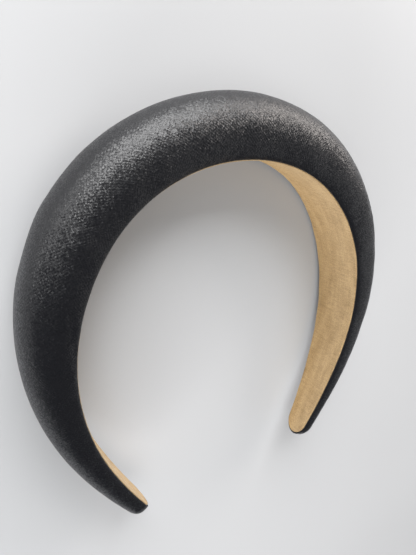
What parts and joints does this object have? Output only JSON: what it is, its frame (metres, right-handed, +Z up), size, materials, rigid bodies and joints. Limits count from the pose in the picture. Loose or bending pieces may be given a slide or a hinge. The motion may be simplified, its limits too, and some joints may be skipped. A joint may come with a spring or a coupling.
{
  "type": "padded headband",
  "caption": "Springy arched headband with a domed foam-padded black cover that tapers to rounded tips, and a tan suede lining strip on the inner face.",
  "frame": {"origin": "on the table, under the middle of the whole band, which lies on its side", "axes": "+X across the head to its left, +Y from the open ends up to the crown, +Z up from the table across the width of the band"},
  "size_m": [0.1668, 0.1744, 0.0295],
  "materials": {
    "cover": "satin",
    "lining": "matte"
  },
  "bodies": {
    "root": {"padded_band": "cover", "lining": "lining"}
  },
  "joints": []
}
